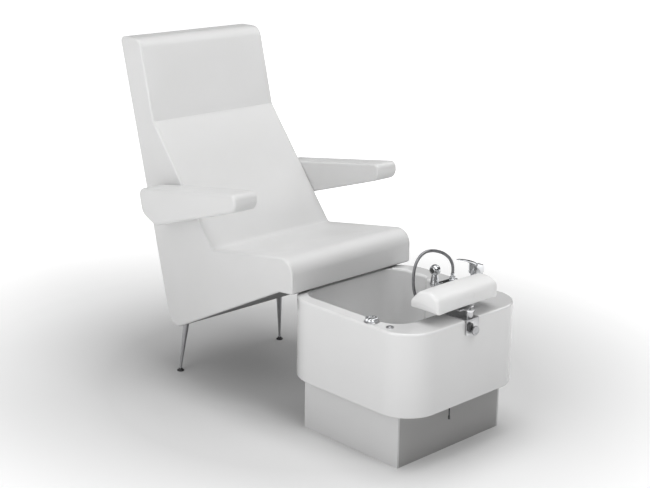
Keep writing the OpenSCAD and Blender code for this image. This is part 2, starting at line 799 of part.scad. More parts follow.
module clamp_thumbscrew() color(bright) difference() {
    union() {
        along_y(thumbscrew_place, bracket_front - 9, bracket_front + sheet - 0.2, screw_radius);
        along_y(thumbscrew_place, bracket_front - 16, bracket_front - 8, 17);
    }
    for (angle = [0:45:315]) translate([thumbscrew_place.x, bracket_front - 17, thumbscrew_place.y])
        rotate([-90, 0, 0]) rotate([0, 0, angle]) translate([18.5, 0, 0]) cylinder(h = 10, r = 3);
}

module footrest_post() color(bright) {
    upright(post_place, rim_height + 5, sleeve_top + 4, post_radius);
    upright(post_place, sleeve_top + 0.3, sleeve_top + 4, sleeve_radius);
    upright(post_place, sleeve_top + 3, plate_low + 6, 6);
}

module footrest_plate() color(bright) difference() {
    union() {
        block([-half_plate, -290, plate_low], [half_plate, -182, board_low]);
        block([-18, post_place.y, plate_low], [18, -285, board_low]);
        upright(post_place, plate_low, board_low, 18);
    }
    upright(post_place, plate_low - past, board_low + past, 6 + running);
}

cushion_front = -299;
cushion_back = cushion_front + cushion_depth;
half_cushion = cushion_length / 2;
cushion_height = 70;
cushion_section = rounded(
    [[cushion_front, cushion_low], [cushion_front + 2, cushion_low + 52],
        [cushion_front + 45, cushion_low + cushion_height + 1],
        [cushion_back - 43, cushion_low + cushion_height - 1],
        [cushion_back, cushion_low + 26], [cushion_back, cushion_low]],
    [0, 26, 42, 46, 22, 0]);

module footrest_board() color(panel_grey)
    block([board_inset - half_cushion, cushion_front + board_inset, board_low],
        [half_cushion - board_inset, cushion_back - board_inset, cushion_low]);

module footrest_cushion() color(leather) across(cushion_section, -half_cushion, half_cushion);

base_pan();
plinth_posts();
plinth_rails();
plinth_front_panel();
plinth_side_panels();
plinth_rear_panel();
support_column();
support_bolts();
basin_shell();
basin_floor_panel();
drain_flange();
drain_plug();
drain_lever();
drain_pull_rod();
drain_trap();
water_jets();
circulation_pump();
control_box();
water_inlets();
cable_gland();
air_control_base();
air_control_knob();
start_button_bezel();
start_button();
mixer_body();
mixer_aerator();
mixer_cap();
mixer_lever();
mixer_lever_pin();
shower_holder();
hose_union();
shower_hose();
shower_hose_nut();
shower_handle();
shower_head();
clamp_bracket();
clamp_pad();
clamp_knob();
clamp_thumbscrew();
footrest_post();
footrest_plate();
footrest_board();
footrest_cushion();
seat_pad();
back_pad();
head_pad();
side_cover_left();
side_cover_right();
rear_panel();
underside_panel();
carcass_sides();
carcass_boards();
carcass_rails();
armrest_left();
armrest_right();
armrest_cores();
armrest_bolts();
rear_legs();
glide_left();
glide_right();
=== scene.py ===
import json
import math

import bmesh
import bpy
import numpy as np
from mathutils import Matrix, Vector


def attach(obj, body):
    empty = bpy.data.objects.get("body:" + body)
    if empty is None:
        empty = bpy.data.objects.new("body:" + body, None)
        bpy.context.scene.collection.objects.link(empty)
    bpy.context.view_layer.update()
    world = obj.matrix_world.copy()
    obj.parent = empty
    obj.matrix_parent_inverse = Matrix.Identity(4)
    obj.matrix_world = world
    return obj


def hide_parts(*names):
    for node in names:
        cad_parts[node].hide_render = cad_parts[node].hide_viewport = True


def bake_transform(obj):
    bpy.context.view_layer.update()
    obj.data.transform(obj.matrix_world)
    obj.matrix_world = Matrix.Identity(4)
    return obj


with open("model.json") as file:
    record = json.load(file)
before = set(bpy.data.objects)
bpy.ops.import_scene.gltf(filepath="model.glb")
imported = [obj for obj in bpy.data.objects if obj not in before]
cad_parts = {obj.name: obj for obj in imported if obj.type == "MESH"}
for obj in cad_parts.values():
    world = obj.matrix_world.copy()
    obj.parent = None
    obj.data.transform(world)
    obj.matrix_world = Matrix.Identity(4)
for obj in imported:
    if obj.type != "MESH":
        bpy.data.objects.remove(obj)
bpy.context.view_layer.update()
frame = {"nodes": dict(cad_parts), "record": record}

# ---- Camera at the photograph's viewing angle ----

CAMERA_PLACE = Vector((-3.409, -3.135, 2.085))
CAMERA_AZIMUTH = math.radians(-43.80)
CAMERA_ELEVATION = math.radians(16.67)
CAMERA_ROLL = math.radians(0.71)
LENS_MM = 75.06


def add_camera():
    back = Vector((math.sin(CAMERA_AZIMUTH) * math.cos(CAMERA_ELEVATION),
                   -math.cos(CAMERA_AZIMUTH) * math.cos(CAMERA_ELEVATION),
                   math.sin(CAMERA_ELEVATION)))
    level_right = Vector((0, 0, 1)).cross(back).normalized()
    level_up = back.cross(level_right)
    c, s = math.cos(CAMERA_ROLL), math.sin(CAMERA_ROLL)
    right = level_right * c + level_up * s
    up = level_up * c - level_right * s
    data = bpy.data.cameras.new("camera")
    data.lens = LENS_MM
    data.sensor_width = 36.0
    data.clip_end = 60.0
    camera = bpy.data.objects.new("camera", data)
    bpy.context.scene.collection.objects.link(camera)
    camera.matrix_world = Matrix(((right.x, up.x, back.x, CAMERA_PLACE.x),
                                  (right.y, up.y, back.y, CAMERA_PLACE.y),
                                  (right.z, up.z, back.z, CAMERA_PLACE.z),
                                  (0, 0, 0, 1)))
    bpy.context.scene.camera = camera


add_camera()

# ---- Mesh building ----

MM = 0.001


def make(name, verts, faces, closed=True, sharp=35):
    """Object from points in metres. A closed form gets its faces turned outwards."""
    mesh = bpy.data.meshes.new(name)
    mesh.from_pydata([tuple(map(float, v)) for v in verts], [], faces)
    if closed:
        bm = bmesh.new()
        bm.from_mesh(mesh)
        bmesh.ops.remove_doubles(bm, verts=bm.verts, dist=1e-6)
        bmesh.ops.recalc_face_normals(bm, faces=bm.faces)
        bm.to_mesh(mesh)
        bm.free()
    mesh.shade_smooth()
    mesh.set_sharp_from_angle(angle=math.radians(sharp))
    obj = bpy.data.objects.new(name, mesh)
    bpy.context.scene.collection.objects.link(obj)
    return obj


def joined(parts):
    """Several (points, faces) pairs as one pair."""
    verts, faces = [], []
    for part_verts, part_faces in parts:
        start = len(verts)
        verts.extend(part_verts)
        faces.extend([[i + start for i in face] for face in part_faces])
    return verts, faces


def settle(obj, body, look, slot, *nodes):
    """Gives a piece its material and its body, and hides the CAD nodes that it stands for."""
    obj.data.materials.append(look)
    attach(obj, body)
    if nodes:
        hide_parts(*nodes)
    return obj


def ring_faces(rings, sides, caps=(True, True)):
    faces = []
    for i in range(rings - 1):
        for k in range(sides):
            n = (k + 1) % sides
            faces.append([i * sides + k, i * sides + n, (i + 1) * sides + n, (i + 1) * sides + k])
    if caps[0]:
        faces.append(list(range(sides))[::-1])
    if caps[1]:
        faces.append([(rings - 1) * sides + k for k in range(sides)])
    return faces


def softened(profile, radius):
    """Open profile of (r, h) points with each inner corner rounded."""
    steps = 3
    out = [np.array(profile[0], float)]
    for a, b, c in zip(profile, profile[1:], profile[2:]):
        a, b, c = (np.array(p, float) for p in (a, b, c))
        la, lc = np.linalg.norm(a - b), np.linalg.norm(c - b)
        cut = min(radius, la * 0.45, lc * 0.45)
        p, q = b + (a - b) / la * cut, b + (c - b) / lc * cut
        for k in range(steps + 1):
            t = k / steps
            out.append((1 - t) ** 2 * p + 2 * t * (1 - t) * b + t * t * q)
    out.append(np.array(profile[-1], float))
    return out


def frame_of(axis):
    w = np.array(axis, float) / np.linalg.norm(axis)
    u = np.cross((0.0, 1.0, 0.0) if abs(w[1]) < 0.9 else (0.0, 0.0, 1.0), w)
    u /= np.linalg.norm(u)
    return u, np.cross(w, u), w


def lathe_mesh(profile, place, axis=(0, 0, 1), segments=64, ripple=None):
    """Turned form. The profile is (radius, distance along the axis) in mm, place is in mm too."""
    u, v, w = frame_of(axis)
    place = np.array(place, float)
    verts = []
    for r, h in profile:
        for k in range(segments):
            a = 2 * math.pi * k / segments
            rr = max(r, 0.02) * (ripple(a, r, h) if ripple else 1.0)
            verts.append((place + w * h + (u * math.cos(a) + v * math.sin(a)) * rr) * MM)
    return verts, ring_faces(len(profile), segments)


def lathe(name, profile, place, axis=(0, 0, 1), segments=64, ripple=None):
    return make(name, *lathe_mesh(profile, place, axis, segments, ripple))


def tube_mesh(path, radius_of, sides=24, up=(0, 0, 1)):
    """Round tube along a path in mm. radius_of gives the radius for a share of the way along."""
    path = [np.array(p, float) for p in path]
    u = None
    verts = []
    for i, p in enumerate(path):
        d = path[min(i + 1, len(path) - 1)] - path[max(i - 1, 0)]
        d /= np.linalg.norm(d)
        if u is None:
            u = np.cross(up if abs(np.dot(up, d)) < 0.9 else (0, 1, 0), d)
        u = u - d * np.dot(u, d)
        u /= np.linalg.norm(u)
        v = np.cross(d, u)
        r = radius_of(i / (len(path) - 1))
        for k in range(sides):
            a = 2 * math.pi * k / sides
            verts.append((p + (u * math.cos(a) + v * math.sin(a)) * r) * MM)
    return verts, ring_faces(len(path), sides)


def smooth_path(points, spacing):
    """Catmull-Rom curve through the points, sampled at an even spacing."""
    pts = [np.array(p, float) for p in points]
    pts = [2 * pts[0] - pts[1]] + pts + [2 * pts[-1] - pts[-2]]
    dense = []
    for a, b, c, d in zip(pts, pts[1:], pts[2:], pts[3:]):
        for k in range(16):
            t = k / 16
            dense.append(0.5 * (2 * b + (c - a) * t + (2 * a - 5 * b + 4 * c - d) * t * t
                                + (3 * b - a - 3 * c + d) * t ** 3))
    dense.append(pts[-2])
    dense = np.array(dense)
    along = np.concatenate([[0], np.cumsum(np.linalg.norm(np.diff(dense, axis=0), axis=1))])
    at = np.linspace(0, along[-1], max(2, int(round(along[-1] / spacing)) + 1))
    return np.stack([np.interp(at, along, dense[:, k]) for k in range(dense.shape[1])], axis=1), along[-1]


def rounded_path(points, radii, spacing=12.0, arc_steps=24):
    """Closed outline with a radius at each corner: points, outward normals, and a number that is i
    in the middle of corner i and rises to i + 1 at the next corner."""
    pts = [np.array(p, float) for p in points]
    n = len(pts)
    area = sum(pts[i][0] * pts[(i + 1) % n][1] - pts[(i + 1) % n][0] * pts[i][1] for i in range(n))
    side = 1.0 if area > 0 else -1.0
    corners = []
    for i in range(n):
        a, b, c = pts[i - 1], pts[i], pts[(i + 1) % n]
        u, v = (a - b) / np.linalg.norm(a - b), (c - b) / np.linalg.norm(c - b)
        half = math.acos(float(np.dot(u, v))) / 2
        centre = b + (u + v) / np.linalg.norm(u + v) * radii[i] / math.sin(half)
        start, end = b + u * radii[i] / math.tan(half), b + v * radii[i] / math.tan(half)
        a0 = math.atan2(*(start - centre)[::-1])
        turn = (math.atan2(*(end - centre)[::-1]) - a0 + 3 * math.pi) % (2 * math.pi) - math.pi
        bulge = 1.0 if turn * side > 0 else -1.0
        corners.append((centre, radii[i], a0, turn, bulge, start, end))
    place, normal, number = [], [], []
    for i, (centre, r, a0, turn, bulge, start, end) in enumerate(corners):
        for k in range(arc_steps + 1):
            a = a0 + turn * k / arc_steps
            out = np.array((math.cos(a), math.sin(a)))
            place.append(centre + out * r)
            normal.append(out * bulge)
            number.append(i - 0.1 + 0.2 * k / arc_steps)
        following = corners[(i + 1) % n][5]
        run = following - end
        length = np.linalg.norm(run)
        outward = np.array((run[1], -run[0])) / length * side
        pieces = max(1, int(math.ceil(length / spacing)))
        for k in range(1, pieces):
            place.append(end + run * k / pieces)
            normal.append(outward)
            number.append(i + 0.1 + 0.8 * k / pieces)
    return np.array(place), np.array(normal), np.array(number)


def prism_mesh(outline, rings, put):
    """Solid from an outline (points, normals) and rings of (height, inset). put places (u, v, h)."""
    place, normal = outline[0], outline[1]
    verts = []
    for h, inset in rings:
        for p, q in zip(place, normal):
            verts.append(np.array(put(p[0] - q[0] * inset, p[1] - q[1] * inset, h)) * MM)
    return verts, ring_faces(len(rings), len(place))


def across(u, v, h):
    """Outline in the Y-Z plane, height along X."""
    return (h, u, v)


def upward(u, v, h):
    """Outline in the X-Y plane, height along Z."""
    return (u, v, h)


def rim(h_from, h_to, r_from, r_to, steps=6):
    """Rings of (height, inset) for a plate with both edges rounded."""
    sign = 1 if h_to > h_from else -1
    low = [(h_from + sign * (r_from - r_from * math.cos(a)), r_from - r_from * math.sin(a))
           for a in np.linspace(0, math.pi / 2, steps + 1)]
    high = [(h_to - sign * (r_to - r_to * math.cos(a)), r_to - r_to * math.sin(a))
            for a in np.linspace(math.pi / 2, 0, steps + 1)]
    return [(h_from, r_from + 1.2)] + low + high + [(h_to, r_to + 1.2)]


# ---- Materials ----

def mix_colour(tree, a, b):
    node = tree.nodes.new("ShaderNodeMix")
    node.data_type = "RGBA"
    node.inputs["A"].default_value = (*a, 1) if isinstance(a, tuple) else (1, 1, 1, 1)
    node.inputs["B"].default_value = (*b, 1)
    return node


def noise(tree, coords, scale, detail=3.0, rough=0.5):
    node = tree.nodes.new("ShaderNodeTexNoise")
    node.inputs["Scale"].default_value = scale
    node.inputs["Detail"].default_value = detail
    node.inputs["Roughness"].default_value = rough
    tree.links.new(coords, node.inputs["Vector"])
    return node.outputs["Fac"]


def ranged(tree, value, low_in, high_in, low, high):
    node = tree.nodes.new("ShaderNodeMapRange")
    for key, number in (("From Min", low_in), ("From Max", high_in), ("To Min", low), ("To Max", high)):
        node.inputs[key].default_value = number
    tree.links.new(value, node.inputs["Value"])
    return node.outputs["Result"]


def bumped(tree, height, distance, strength, below=None):
    node = tree.nodes.new("ShaderNodeBump")
    node.inputs["Strength"].default_value = strength
    node.inputs["Distance"].default_value = distance
    tree.links.new(height, node.inputs["Height"])
    if below is not None:
        tree.links.new(below, node.inputs["Normal"])
    return node.outputs["Normal"]


def finish(name, colour, tint, rough, metallic=0.0, coat=0.0, coat_rough=0.08, mottle=7.0,
           grain=None, fine=None, ply=False, stretch=(1, 1, 1), worn=None, sheen=0.0, smudge=35.0):
    """Procedural finish. grain and fine are (kind, scale per metre, height in metres, strength)."""
    mat = bpy.data.materials.new(name)
    mat.use_nodes = True
    tree = mat.node_tree
    shader = tree.nodes["Principled BSDF"]
    shader.inputs["Metallic"].default_value = metallic
    shader.inputs["IOR"].default_value = 1.5
    shader.inputs["Coat Weight"].default_value = coat
    shader.inputs["Coat Roughness"].default_value = coat_rough
    shader.inputs["Sheen Weight"].default_value = sheen
    coords = tree.nodes.new("ShaderNodeTexCoord").outputs["Object"]
    mapping = tree.nodes.new("ShaderNodeMapping")
    mapping.inputs["Scale"].default_value = stretch
    tree.links.new(coords, mapping.inputs["Vector"])
    long_coords = mapping.outputs["Vector"]
    # Colour: broad mottling between the colour and its tint, then wear on the outer edges
    blend = mix_colour(tree, colour, tint)
    if ply:
        wave = tree.nodes.new("ShaderNodeTexWave")
        wave.bands_direction = "X"
        wave.inputs["Scale"].default_value = mottle
        wave.inputs["Distortion"].default_value = 6.0
        wave.inputs["Detail"].default_value = 3.0
        tree.links.new(long_coords, wave.inputs["Vector"])
        spread = wave.outputs["Fac"]
    else:
        spread = ranged(tree, noise(tree, long_coords, mottle, 4.0), 0.32, 0.68, 0.0, 1.0)
    tree.links.new(spread, blend.inputs["Factor"])
    colour_out = blend.outputs["Result"]
    if worn:
        edge = ranged(tree, tree.nodes.new("ShaderNodeNewGeometry").outputs["Pointiness"],
                      0.52, 0.60, 0.0, worn[1])
        edges = mix_colour(tree, None, worn[0])
        tree.links.new(colour_out, edges.inputs["A"])
        tree.links.new(edge, edges.inputs["Factor"])
        colour_out = edges.outputs["Result"]
    tree.links.new(colour_out, shader.inputs["Base Color"])
    # Roughness: cloudy variation between its two limits
    tree.links.new(ranged(tree, noise(tree, long_coords, smudge, 5.0, 0.6), 0.3, 0.7, *rough),
                   shader.inputs["Roughness"])
    # Relief: a broad grain with a finer one on it
    normal = None
    for layer in (grain, fine):
        if not layer:
            continue
        kind, scale, height, strength = layer
        if kind == "cells":
            cells = tree.nodes.new("ShaderNodeTexVoronoi")
            cells.feature = "DISTANCE_TO_EDGE"
            cells.inputs["Scale"].default_value = scale
            tree.links.new(coords, cells.inputs["Vector"])
            value = ranged(tree, cells.outputs["Distance"], 0.0, 0.18, 0.0, 1.0)
        else:
            value = noise(tree, long_coords if kind == "brushed" else coords, scale, 4.0, 0.6)
        normal = bumped(tree, value, height, strength, normal)
    if normal is not None:
        tree.links.new(normal, shader.inputs["Normal"])
    return mat


# Leather and panel finishes differ in colour only
LEATHER_GRAIN = ("cells", 900, 0.00012, 0.35)


def white_leather(name, colour, tint, edge):
    return finish(name, colour, tint, (0.42, 0.55), coat=0.06, coat_rough=0.35, mottle=5, smudge=9,
                  grain=LEATHER_GRAIN, fine=("noise", 60, 0.0006, 0.12), worn=(edge, 0.2), sheen=0.03)


def painted_panel(name, colour, tint, worn):
    return finish(name, colour, tint, (0.32, 0.42), coat=0.1, coat_rough=0.3, mottle=6,
                  grain=("noise", 700, 0.00006, 0.25), fine=("noise", 60, 0.0003, 0.1), worn=worn)


looks = {
    "leather_white": white_leather("leather_white", (0.63, 0.63, 0.63), (0.615, 0.615, 0.612),
                                   (0.80, 0.80, 0.795)),
    # Brighter copy of the white leather, for the footrest cushion: painted light
    "leather_painted_light": white_leather("leather_painted_light", (0.71, 0.71, 0.71), (0.695, 0.695, 0.692),
                                    (0.82, 0.82, 0.815)),
    # Darker copy of the white leather, for the chair's underside: painted shade
    "leather_shaded": finish("leather_shaded", (0.20, 0.20, 0.20), (0.18, 0.18, 0.18), (0.55, 0.7),
                             mottle=5, smudge=9, grain=LEATHER_GRAIN,
                             worn=((0.30, 0.30, 0.30), 0.2)),
    "gelcoat_white": finish("gelcoat_white", (0.66, 0.66, 0.66), (0.645, 0.645, 0.645), (0.10, 0.17),
                            coat=0.5, coat_rough=0.06, mottle=4, smudge=14,
                            grain=("noise", 45, 0.0004, 0.10), fine=("noise", 900, 0.00003, 0.15),
                            worn=((0.84, 0.84, 0.84), 0.3)),
    "panel_white": painted_panel("panel_white", (0.26, 0.26, 0.26), (0.245, 0.245, 0.245),
                                 ((0.84, 0.84, 0.84), 0.6)),
    # Darker copy of the panel finish, for the plinth's front panel: painted shade under the basin's overhang
    "panel_shaded": painted_panel("panel_shaded", (0.24, 0.235, 0.23), (0.22, 0.215, 0.21),
                                  ((0.50, 0.50, 0.50), 0.5)),
    "chrome": finish("chrome", (0.66, 0.67, 0.68), (0.58, 0.59, 0.61), (0.05, 0.11), metallic=1.0,
                     mottle=30, smudge=70, grain=("noise", 90, 0.0002, 0.06),
                     fine=("brushed", 1400, 0.00002, 0.08), worn=((0.92, 0.92, 0.93), 0.5)),
    # More matt chrome whose colour is also darker than the chrome's: the satin finish is real, the darker
    # colour is painted dark reflection
    "satin_chrome_painted_dark": finish("satin_chrome_painted_dark", (0.43, 0.43, 0.44), (0.36, 0.36, 0.37), (0.26, 0.36),
                           metallic=1.0, mottle=25, smudge=60, stretch=(8, 8, 1),
                           grain=("brushed", 120, 0.0001, 0.15), worn=((0.75, 0.75, 0.76), 0.6)),
    "hose_metal": finish("hose_metal", (0.24, 0.24, 0.25), (0.18, 0.18, 0.19), (0.28, 0.40),
                         metallic=1.0, mottle=60, fine=("noise", 1500, 0.00003, 0.2),
                         worn=((0.55, 0.55, 0.56), 0.8)),
    "black_plastic": finish("black_plastic", (0.022, 0.022, 0.024), (0.035, 0.035, 0.037), (0.22, 0.34),
                            coat=0.3, coat_rough=0.12, mottle=40,
                            grain=("noise", 1200, 0.00005, 0.35), worn=((0.10, 0.10, 0.10), 0.7)),
    "rubber": finish("rubber", (0.03, 0.03, 0.03), (0.05, 0.05, 0.05), (0.65, 0.85), mottle=30,
                     grain=("noise", 900, 0.00008, 0.5), worn=((0.12, 0.12, 0.12), 0.5)),
    "steel_painted": finish("steel_painted", (0.48, 0.49, 0.51), (0.43, 0.44, 0.46), (0.38, 0.52),
                            mottle=10, grain=("noise", 500, 0.00015, 0.5),
                            fine=("noise", 60, 0.0003, 0.15), worn=((0.62, 0.62, 0.63), 0.7)),
    "steel": finish("steel", (0.60, 0.61, 0.63), (0.52, 0.53, 0.56), (0.22, 0.40), metallic=1.0,
                    mottle=30, stretch=(1, 1, 14), grain=("brushed", 220, 0.00006, 0.3),
                    worn=((0.75, 0.75, 0.76), 0.7)),
    "plywood": finish("plywood", (0.66, 0.47, 0.27), (0.50, 0.33, 0.17), (0.55, 0.75), mottle=2.2,
                      ply=True, stretch=(14, 2, 2), grain=("brushed", 90, 0.0003, 0.4),
                      worn=((0.74, 0.58, 0.38), 0.6)),
    "pipe_grey": finish("pipe_grey", (0.40, 0.41, 0.43), (0.35, 0.36, 0.38), (0.35, 0.48), mottle=12,
                        grain=("noise", 400, 0.0001, 0.25), worn=((0.55, 0.55, 0.56), 0.6)),
    "brass": finish("brass", (0.78, 0.58, 0.26), (0.66, 0.46, 0.18), (0.16, 0.34), metallic=1.0,
                    mottle=60, stretch=(1, 16, 1), grain=("brushed", 160, 0.00006, 0.3),
                    worn=((0.90, 0.74, 0.42), 0.7)),
}

# ---- Hand shower, with the places of its rest and the hose union ----

RIM = 506.0
SHOWER = (175.0, 15.0, RIM)
UNION = (275.0, 15.0, RIM)
BALL_HEIGHT = 61.0
BALL_RADIUS = 21.0
FACE_AT = 17.1
SPRAY_SIDE = (-1, 0, 0)


FLAT_SHARE = 0.885


def hexagon(angle, r, h):
    """Radius factor of a hexagon nut with its corners turned off."""
    inside = (angle + math.pi / 6) % (math.pi / 3) - math.pi / 6
    return min(1.0, FLAT_SHARE / math.cos(inside))


def knurl(count, depth):
    """Radius factor of an edge with fine ribs along the axis."""
    def factor(angle, r, h):
        return 1 - depth / max(r, 1e-3) * (0.5 + 0.5 * math.cos(count * angle))
    return factor


def build_shower():
    nut = lathe("hose_nut", softened([(5.2, -14), (8.4, -14), (9, -13.2), (9, -6.6), (8.2, -6.0),
                (0.1, -6.0)], 0.4), SHOWER, segments=120, ripple=knurl(20, 0.55))
    settle(nut, "hand_shower", looks["chrome"], "chrome", "shower_hose_nut")
    grip = [(0.1, -6), (10.6, -6), (11.5, -4.6), (11.5, 9.0), (16.0, 9.5), (16.8, 10.6), (16.8, 13.4),
            (16.0, 14.6), (16.0, 16.0), (15.2, 20), (13.4, 30), (11.6, 40), (10.8, 45.2), (0.1, 45.2)]
    handle = lathe("shower_grip", softened(grip, 0.9), SHOWER, segments=64)
    settle(handle, "hand_shower", looks["chrome"], "chrome", "shower_handle")
    top = math.asin(FACE_AT / BALL_RADIUS)
    ball = [(BALL_RADIUS * math.cos(a), BALL_RADIUS * math.sin(a))
            for a in np.linspace(-math.pi / 2, top, 30)]
    ball += [(11.0, FACE_AT + 0.1), (10.4, FACE_AT - 0.4), (10.2, FACE_AT - 1.0), (0.1, FACE_AT - 1.0)]
    centre = (SHOWER[0], SHOWER[1], RIM + BALL_HEIGHT)
    collar = lathe_mesh(softened([(0.1, 44.6), (10.8, 44.6), (11.6, 45.4), (11.2, 47.0), (11.0, 50),
                        (0.1, 54)], 0.5), SHOWER, segments=64)
    sphere = lathe_mesh(ball, centre, axis=SPRAY_SIDE, segments=64)
    head = make("shower_ball", *joined([sphere, collar]), sharp=40)
    settle(head, "hand_shower", looks["chrome"], "chrome", "shower_head")
    u, v, _ = frame_of(SPRAY_SIDE)
    jets = [lathe_mesh([(0.1, FACE_AT - 1.1), (10.1, FACE_AT - 1.1), (10.1, FACE_AT - 0.7),
                        (0.1, FACE_AT - 0.6)], centre, axis=SPRAY_SIDE, segments=48)]
    for count, radius in ((1, 0.0), (6, 3.2), (12, 6.4)):
        for k in range(count):
            a = 2 * math.pi * k / count
            spot = np.array(centre) + (u * math.cos(a) + v * math.sin(a)) * radius
            jets.append(lathe_mesh([(0.1, FACE_AT - 1.0), (0.75, FACE_AT - 1.0), (0.6, FACE_AT + 0.1),
                                    (0.1, FACE_AT + 0.25)], spot, axis=SPRAY_SIDE, segments=12))
    face = make("shower_face", *joined(jets), sharp=40)
    settle(face, "hand_shower", looks["rubber"], "rubber")
    return [nut, handle, head, face]


# ---- Shower hose: union, arch, bend behind the cushion, hand shower's nut ----

HOSE_PLANE = 0.015
HOSE_LINE = [(0.275, 0.534), (0.275, 0.550), (0.272, 0.566), (0.264, 0.582), (0.251, 0.598),
             (0.234, 0.612), (0.213, 0.625), (0.190, 0.635), (0.165, 0.643), (0.139, 0.647),
             (0.114, 0.646), (0.092, 0.637), (0.075, 0.621), (0.064, 0.600), (0.059, 0.577),
             (0.058, 0.553), (0.060, 0.529), (0.066, 0.506), (0.076, 0.485), (0.091, 0.467),
             (0.110, 0.456), (0.131, 0.453), (0.151, 0.459), (0.166, 0.471), (0.173, 0.482),
             (0.175, 0.492)]
HOSE_DIAMETER = 0.012
RIB_PITCH_MM = 3.4


def build_hose(hand_shower):
    route, length = smooth_path([(x / MM, HOSE_PLANE / MM, z / MM) for x, z in HOSE_LINE], 0.85)
    ribs = length / RIB_PITCH_MM
    outer = HOSE_DIAMETER / MM / 2

    def radius(share):
        return outer - 0.38 + 0.38 * math.cos(2 * math.pi * ribs * share)
    hose = make("hose", *tube_mesh(route, radius, sides=16, up=(0, 1, 0)), sharp=80)
    hose.data.materials.append(looks["hose_metal"])
    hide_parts("shower_hose")
    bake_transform(hose)


build_hose(build_shower())

# ---- Upholstered body: outline seen from the side as [y, z], in mm ----

HALF_WIDTH = 310.0
COVER = 12.0
EDGE = 8.0
CHAIR_OUTLINE = [(265, 513), (265, 650), (720, 580), (1071, 1021), (1150, 1333), (1277, 1333),
                 (984, 186), (338, 507)]
CHAIR_RADII = [10, 58, 20, 30, 48, 20, 54, 10]
SEAM_DEPTH = 0.9
SEAM_WIDTH = 1.3
SHELL = 8.0
chair = rounded_path(CHAIR_OUTLINE, CHAIR_RADII, spacing=10.0)


def ease(x):
    x = min(1.0, max(0.0, x))
    return x * x * (3 - 2 * x)


def hollow(share, power):
    """Smooth hump that is 0 at both ends and 1 inside."""
    return math.sin(math.pi * min(1.0, max(0.0, share)) ** power) ** 2


def seat_dish(x, number):
    share = (number - 1.05) / 0.95
    sides = ease((HALF_WIDTH - COVER - abs(x)) / 110.0)
    broad = 11.0 * sides * hollow(share, 1.25) ** 0.7
    pocket = 8.0 * math.exp(-(x / 150.0) ** 2) * hollow(share, 1.7)
    return broad + pocket


def back_dish(x, number):
    share = number - 2.0
    return 7.0 * ease((HALF_WIDTH - COVER - abs(x)) / 120.0) * hollow(share, 0.9)


def head_dish(x, number):
    share = (number - 3.0) / 0.92
    return 4.5 * ease((HALF_WIDTH - COVER - abs(x)) / 100.0) * hollow(share, 1.0)


def no_dish(x, number):
    return 0.0


def upholstery_piece(name, low, high, dish):
    """The part of the outline between two corner numbers as a closed padded form with seams."""
    place, normal, number = chair
    rows = sorted([(t + lap, i) for lap in (0, 8) for i, t in enumerate(number)
                   if low - 1e-9 <= t + lap <= high + 1e-9])
    along = [0.0]
    for (_, i), (_, j) in zip(rows, rows[1:]):
        along.append(along[-1] + float(np.linalg.norm(place[j] - place[i])))
    half = HALF_WIDTH - COVER
    near = [0.0, 0.5, 1.1, 1.8, 2.8, 4.5, 8.0, 14.0]
    columns = ([-half + d for d in near] + list(np.linspace(-half + 22, half - 22, 58))
               + [half - d for d in near[::-1]])
    verts, inner = [], []
    for (t, i), s in zip(rows, along):
        for x in columns:
            seam = min(half - abs(x), s, along[-1] - s)
            sink = dish(x, t) + SEAM_DEPTH * math.exp(-(seam / SEAM_WIDTH) ** 2)
            y, z = place[i] - normal[i] * sink
            verts.append(np.array((x, y, z)) * MM)
            y, z = place[i] - normal[i] * (SHELL + dish(x, t))
            inner.append(np.array((x, y, z)) * MM)
    n, m = len(rows), len(columns)
    faces = [[r * m + c, r * m + c + 1, (r + 1) * m + c + 1, (r + 1) * m + c]
             for r in range(n - 1) for c in range(m - 1)]
    base = n * m
    faces += [[base + k for k in face[::-1]] for face in faces]
    border = ([(0, c) for c in range(m)] + [(r, m - 1) for r in range(1, n)]
              + [(n - 1, c) for c in range(m - 2, -1, -1)] + [(r, 0) for r in range(n - 2, 0, -1)])
    ids = [r * m + c for r, c in border]
    for a, b in zip(ids, ids[1:] + ids[:1]):
        faces.append([b, a, base + a, base + b])
    return make(name, verts + inner, faces, sharp=50)


UPHOLSTERY = [("seat_cushion", "seat_pad", 0.0, 2.0, seat_dish),
              ("back_cushion", "back_pad", 2.0, 3.0, back_dish),
              ("head_cushion", "head_pad", 3.0, 5.0, head_dish),
              ("rear_cover", "rear_panel", 5.0, 6.0, no_dish),
              ("underside_cover", "underside_panel", 6.0, 8.0, no_dish)]
for piece_name, node, low, high, dish in UPHOLSTERY:
    pad = upholstery_piece(piece_name, low, high, dish)
    # The underside cover gets the darker copy of the white leather: painted shade
    in_painted_shade = piece_name == "underside_cover"
    settle(pad, "root", looks["leather_shaded" if in_painted_shade else "leather_white"], "leather_white", node)


def side_cover(name, side, node):
    inner = HALF_WIDTH - COVER
    rings = [(inner, SEAM_DEPTH + 0.6), (inner + 0.15, SEAM_DEPTH), (inner + 0.8, 0.45),
             (inner + 1.6, 0.12), (inner + 3.0, 0.0)]
    rings += [(HALF_WIDTH - EDGE + EDGE * math.sin(a), EDGE - EDGE * math.cos(a))
              for a in np.linspace(0, math.pi / 2, 9)]
    rings += [(HALF_WIDTH, EDGE + 1.2)]
    verts, faces = prism_mesh(chair, [(side * h, d) for h, d in rings], across)
    pad = make(name, verts, faces, sharp=50)
    settle(pad, "root", looks["leather_white"], "leather_white", node)


side_cover("side_panel_left", -1, "side_cover_left")
side_cover("side_panel_right", 1, "side_cover_right")

# ---- Armrests ----

ARMREST_OUTLINE = [(1034, 780), (453, 866), (447, 802), (930, 650), (1012, 684)]
ARMREST_RADII = [26, 22, 38, 60, 50]
ARMREST_WIDTH = 110.0
armrest_path = rounded_path(ARMREST_OUTLINE, ARMREST_RADII, spacing=12.0)


